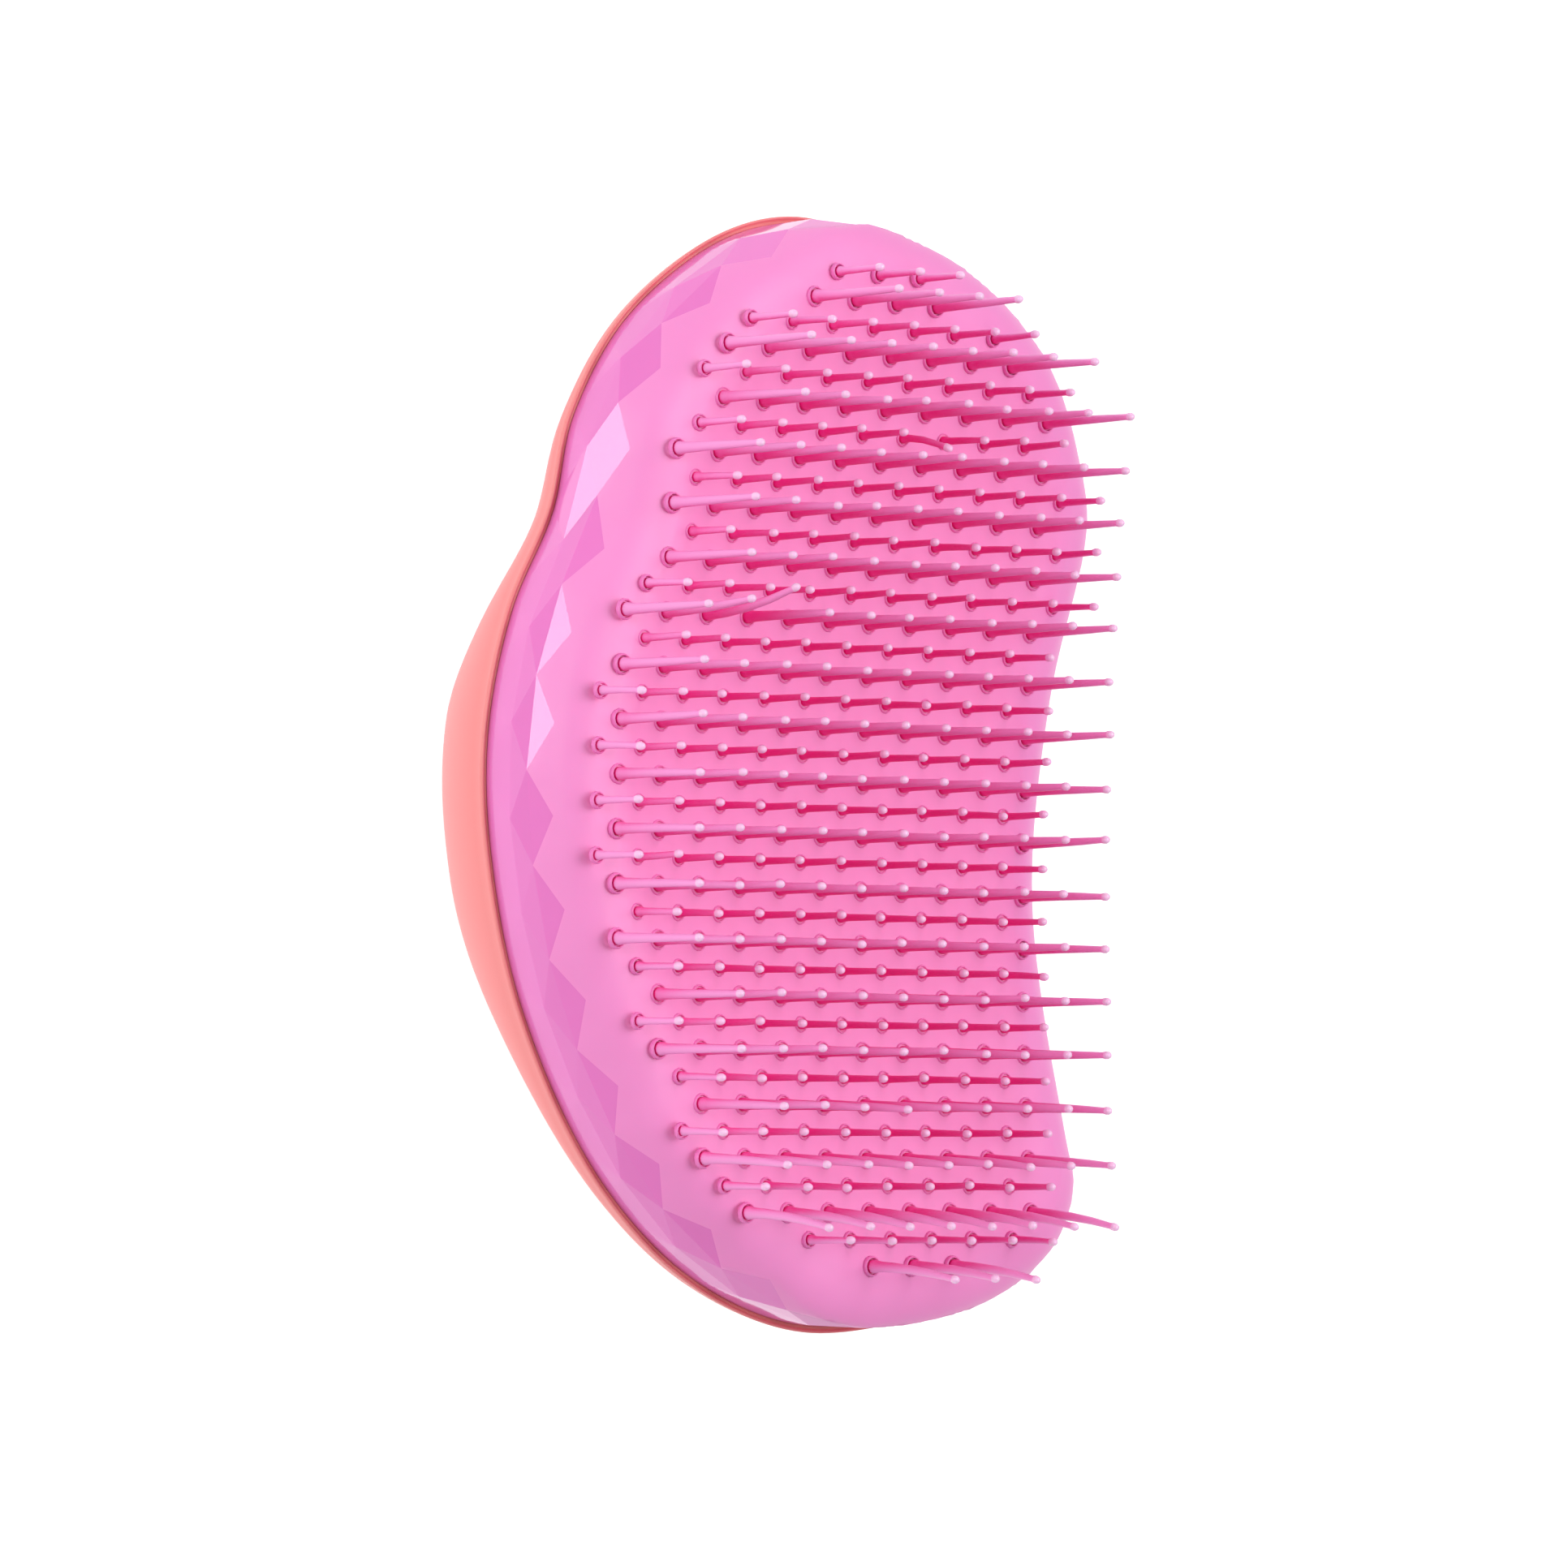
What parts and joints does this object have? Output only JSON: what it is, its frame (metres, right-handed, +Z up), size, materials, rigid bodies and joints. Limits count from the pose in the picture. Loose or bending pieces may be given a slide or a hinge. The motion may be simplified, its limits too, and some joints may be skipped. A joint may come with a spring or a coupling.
{
  "type": "paddle brush",
  "caption": "Palm-held detangling brush: hollow bean-shaped back shell, faceted bristle pad and rows of long and short flexing bristles.",
  "frame": {"origin": "under the middle of the brush, level with the flat on the crest of its back", "axes": "+X across the brush towards its hollow side, +Y along it towards its small front lobe, +Z up along the bristles"},
  "size_m": [0.0752, 0.1147, 0.052],
  "materials": {
    "coral_shell": "satin moulded coral plastic",
    "pink_pad": "moulded pink plastic, glossy facets and a softer face",
    "pink_bristles": "soft moulded pink plastic"
  },
  "bodies": {
    "handle": {"back_shell": "coral_shell", "bristle_pad": "pink_pad"},
    "short_row_01": {"short_bristle_row_01": "pink_bristles"},
    "long_row_01": {"long_bristle_row_01": "pink_bristles"},
    "short_row_02": {"short_bristle_row_02": "pink_bristles"},
    "long_row_02": {"long_bristle_row_02": "pink_bristles"},
    "short_row_03": {"short_bristle_row_03": "pink_bristles"},
    "long_row_03": {"long_bristle_row_03": "pink_bristles"},
    "short_row_04": {"short_bristle_row_04": "pink_bristles"},
    "long_row_04": {"long_bristle_row_04": "pink_bristles"},
    "short_row_05": {"short_bristle_row_05": "pink_bristles"},
    "long_row_05": {"long_bristle_row_05": "pink_bristles"},
    "short_row_06": {"short_bristle_row_06": "pink_bristles"},
    "long_row_06": {"long_bristle_row_06": "pink_bristles"},
    "short_row_07": {"short_bristle_row_07": "pink_bristles"},
    "long_row_07": {"long_bristle_row_07": "pink_bristles"},
    "short_row_08": {"short_bristle_row_08": "pink_bristles"},
    "long_row_08": {"long_bristle_row_08": "pink_bristles"},
    "short_row_09": {"short_bristle_row_09": "pink_bristles"},
    "long_row_09": {"long_bristle_row_09": "pink_bristles"},
    "short_row_10": {"short_bristle_row_10": "pink_bristles"},
    "long_row_10": {"long_bristle_row_10": "pink_bristles"},
    "short_row_11": {"short_bristle_row_11": "pink_bristles"},
    "long_row_11": {"long_bristle_row_11": "pink_bristles"},
    "short_row_12": {"short_bristle_row_12": "pink_bristles"},
    "long_row_12": {"long_bristle_row_12": "pink_bristles"},
    "short_row_13": {"short_bristle_row_13": "pink_bristles"},
    "long_row_13": {"long_bristle_row_13": "pink_bristles"},
    "short_row_14": {"short_bristle_row_14": "pink_bristles"},
    "long_row_14": {"long_bristle_row_14": "pink_bristles"},
    "short_row_15": {"short_bristle_row_15": "pink_bristles"},
    "long_row_15": {"long_bristle_row_15": "pink_bristles"},
    "short_row_16": {"short_bristle_row_16": "pink_bristles"},
    "long_row_16": {"long_bristle_row_16": "pink_bristles"},
    "short_row_17": {"short_bristle_row_17": "pink_bristles"},
    "long_row_17": {"long_bristle_row_17": "pink_bristles"},
    "short_row_18": {"short_bristle_row_18": "pink_bristles"},
    "long_row_18": {"long_bristle_row_18": "pink_bristles"},
    "short_row_19": {"short_bristle_row_19": "pink_bristles"},
    "long_row_19": {"long_bristle_row_19": "pink_bristles"}
  },
  "joints": [
    {"name": "short_row_01_flex", "type": "hinge", "parent": "handle", "child": "short_row_01", "pos_m": [-0.001, 0.05128, 0.03921], "axis": [1, 0, 0], "range_deg": [-12, 12], "stiffness_Nm_per_rad": 0.0129},
    {"name": "long_row_01_flex", "type": "hinge", "parent": "handle", "child": "long_row_01", "pos_m": [-0.001, 0.04856, 0.03877], "axis": [1, 0, 0], "range_deg": [-15, 15], "stiffness_Nm_per_rad": 0.0136},
    {"name": "short_row_02_flex", "type": "hinge", "parent": "handle", "child": "short_row_02", "pos_m": [-0.001, 0.04583, 0.03835], "axis": [1, 0, 0], "range_deg": [-12, 12], "stiffness_Nm_per_rad": 0.0301},
    {"name": "long_row_02_flex", "type": "hinge", "parent": "handle", "child": "long_row_02", "pos_m": [-0.001, 0.0431, 0.03795], "axis": [1, 0, 0], "range_deg": [-15, 15], "stiffness_Nm_per_rad": 0.0272},
    {"name": "short_row_03_flex", "type": "hinge", "parent": "handle", "child": "short_row_03", "pos_m": [-0.001, 0.04037, 0.03757], "axis": [1, 0, 0], "range_deg": [-12, 12], "stiffness_Nm_per_rad": 0.0387},
    {"name": "long_row_03_flex", "type": "hinge", "parent": "handle", "child": "long_row_03", "pos_m": [-0.001, 0.03763, 0.0372], "axis": [1, 0, 0], "range_deg": [-15, 15], "stiffness_Nm_per_rad": 0.0306},
    {"name": "short_row_04_flex", "type": "hinge", "parent": "handle", "child": "short_row_04", "pos_m": [-0.001, 0.03489, 0.03686], "axis": [1, 0, 0], "range_deg": [-12, 12], "stiffness_Nm_per_rad": 0.0387},
    {"name": "long_row_04_flex", "type": "hinge", "parent": "handle", "child": "long_row_04", "pos_m": [-0.001, 0.03215, 0.03654], "axis": [1, 0, 0], "range_deg": [-15, 15], "stiffness_Nm_per_rad": 0.034},
    {"name": "short_row_05_flex", "type": "hinge", "parent": "handle", "child": "short_row_05", "pos_m": [-0.001, 0.02941, 0.03624], "axis": [1, 0, 0], "range_deg": [-12, 12], "stiffness_Nm_per_rad": 0.043},
    {"name": "long_row_05_flex", "type": "hinge", "parent": "handle", "child": "long_row_05", "pos_m": [-0.001, 0.02666, 0.03596], "axis": [1, 0, 0], "range_deg": [-15, 15], "stiffness_Nm_per_rad": 0.034},
    {"name": "short_row_06_flex", "type": "hinge", "parent": "handle", "child": "short_row_06", "pos_m": [-0.001, 0.02392, 0.0357], "axis": [1, 0, 0], "range_deg": [-12, 12], "stiffness_Nm_per_rad": 0.043},
    {"name": "long_row_06_flex", "type": "hinge", "parent": "handle", "child": "long_row_06", "pos_m": [-0.001, 0.02117, 0.03546], "axis": [1, 0, 0], "range_deg": [-15, 15], "stiffness_Nm_per_rad": 0.034},
    {"name": "short_row_07_flex", "type": "hinge", "parent": "handle", "child": "short_row_07", "pos_m": [-0.001, 0.01841, 0.03524], "axis": [1, 0, 0], "range_deg": [-12, 12], "stiffness_Nm_per_rad": 0.0473},
    {"name": "long_row_07_flex", "type": "hinge", "parent": "handle", "child": "long_row_07", "pos_m": [-0.001, 0.01566, 0.03505], "axis": [1, 0, 0], "range_deg": [-15, 15], "stiffness_Nm_per_rad": 0.0374},
    {"name": "short_row_08_flex", "type": "hinge", "parent": "handle", "child": "short_row_08", "pos_m": [-0.001, 0.01291, 0.03487], "axis": [1, 0, 0], "range_deg": [-12, 12], "stiffness_Nm_per_rad": 0.043},
    {"name": "long_row_08_flex", "type": "hinge", "parent": "handle", "child": "long_row_08", "pos_m": [-0.001, 0.01015, 0.03471], "axis": [1, 0, 0], "range_deg": [-15, 15], "stiffness_Nm_per_rad": 0.0374},
    {"name": "short_row_09_flex", "type": "hinge", "parent": "handle", "child": "short_row_09", "pos_m": [-0.001, 0.0074, 0.03458], "axis": [1, 0, 0], "range_deg": [-12, 12], "stiffness_Nm_per_rad": 0.0473},
    {"name": "long_row_09_flex", "type": "hinge", "parent": "handle", "child": "long_row_09", "pos_m": [-0.001, 0.00464, 0.03446], "axis": [1, 0, 0], "range_deg": [-15, 15], "stiffness_Nm_per_rad": 0.0374},
    {"name": "short_row_10_flex", "type": "hinge", "parent": "handle", "child": "short_row_10", "pos_m": [-0.001, 0.00188, 0.03437], "axis": [1, 0, 0], "range_deg": [-12, 12], "stiffness_Nm_per_rad": 0.0473},
    {"name": "long_row_10_flex", "type": "hinge", "parent": "handle", "child": "long_row_10", "pos_m": [-0.001, -0.00088, 0.03429], "axis": [1, 0, 0], "range_deg": [-15, 15], "stiffness_Nm_per_rad": 0.0374},
    {"name": "short_row_11_flex", "type": "hinge", "parent": "handle", "child": "short_row_11", "pos_m": [-0.001, -0.00364, 0.03424], "axis": [1, 0, 0], "range_deg": [-12, 12], "stiffness_Nm_per_rad": 0.0473},
    {"name": "long_row_11_flex", "type": "hinge", "parent": "handle", "child": "long_row_11", "pos_m": [-0.001, -0.0064, 0.03421], "axis": [1, 0, 0], "range_deg": [-15, 15], "stiffness_Nm_per_rad": 0.0374},
    {"name": "short_row_12_flex", "type": "hinge", "parent": "handle", "child": "short_row_12", "pos_m": [-0.001, -0.00916, 0.0342], "axis": [1, 0, 0], "range_deg": [-12, 12], "stiffness_Nm_per_rad": 0.0473},
    {"name": "long_row_12_flex", "type": "hinge", "parent": "handle", "child": "long_row_12", "pos_m": [-0.001, -0.01192, 0.03421], "axis": [1, 0, 0], "range_deg": [-15, 15], "stiffness_Nm_per_rad": 0.0374},
    {"name": "short_row_13_flex", "type": "hinge", "parent": "handle", "child": "short_row_13", "pos_m": [-0.001, -0.01468, 0.03424], "axis": [1, 0, 0], "range_deg": [-12, 12], "stiffness_Nm_per_rad": 0.043},
    {"name": "long_row_13_flex", "type": "hinge", "parent": "handle", "child": "long_row_13", "pos_m": [-0.001, -0.01744, 0.03429], "axis": [1, 0, 0], "range_deg": [-15, 15], "stiffness_Nm_per_rad": 0.0374},
    {"name": "short_row_14_flex", "type": "hinge", "parent": "handle", "child": "short_row_14", "pos_m": [-0.001, -0.0202, 0.03437], "axis": [1, 0, 0], "range_deg": [-12, 12], "stiffness_Nm_per_rad": 0.043},
    {"name": "long_row_14_flex", "type": "hinge", "parent": "handle", "child": "long_row_14", "pos_m": [-0.001, -0.02296, 0.03446], "axis": [1, 0, 0], "range_deg": [-15, 15], "stiffness_Nm_per_rad": 0.034},
    {"name": "short_row_15_flex", "type": "hinge", "parent": "handle", "child": "short_row_15", "pos_m": [-0.001, -0.02571, 0.03457], "axis": [1, 0, 0], "range_deg": [-12, 12], "stiffness_Nm_per_rad": 0.043},
    {"name": "long_row_15_flex", "type": "hinge", "parent": "handle", "child": "long_row_15", "pos_m": [-0.001, -0.02847, 0.03471], "axis": [1, 0, 0], "range_deg": [-15, 15], "stiffness_Nm_per_rad": 0.034},
    {"name": "short_row_16_flex", "type": "hinge", "parent": "handle", "child": "short_row_16", "pos_m": [-0.001, -0.03123, 0.03486], "axis": [1, 0, 0], "range_deg": [-12, 12], "stiffness_Nm_per_rad": 0.0387},
    {"name": "long_row_16_flex", "type": "hinge", "parent": "handle", "child": "long_row_16", "pos_m": [-0.001, -0.03398, 0.03504], "axis": [1, 0, 0], "range_deg": [-15, 15], "stiffness_Nm_per_rad": 0.0306},
    {"name": "short_row_17_flex", "type": "hinge", "parent": "handle", "child": "short_row_17", "pos_m": [-0.001, -0.03673, 0.03524], "axis": [1, 0, 0], "range_deg": [-12, 12], "stiffness_Nm_per_rad": 0.0387},
    {"name": "long_row_17_flex", "type": "hinge", "parent": "handle", "child": "long_row_17", "pos_m": [-0.001, -0.03948, 0.03546], "axis": [1, 0, 0], "range_deg": [-15, 15], "stiffness_Nm_per_rad": 0.0306},
    {"name": "short_row_18_flex", "type": "hinge", "parent": "handle", "child": "short_row_18", "pos_m": [-0.001, -0.04223, 0.03569], "axis": [1, 0, 0], "range_deg": [-12, 12], "stiffness_Nm_per_rad": 0.0344},
    {"name": "long_row_18_flex", "type": "hinge", "parent": "handle", "child": "long_row_18", "pos_m": [-0.001, -0.04498, 0.03595], "axis": [1, 0, 0], "range_deg": [-15, 15], "stiffness_Nm_per_rad": 0.0272},
    {"name": "short_row_19_flex", "type": "hinge", "parent": "handle", "child": "short_row_19", "pos_m": [-0.001, -0.04773, 0.03623], "axis": [1, 0, 0], "range_deg": [-12, 12], "stiffness_Nm_per_rad": 0.0258},
    {"name": "long_row_19_flex", "type": "hinge", "parent": "handle", "child": "long_row_19", "pos_m": [-0.001, -0.05047, 0.03653], "axis": [1, 0, 0], "range_deg": [-15, 15], "stiffness_Nm_per_rad": 0.0102}
  ]
}
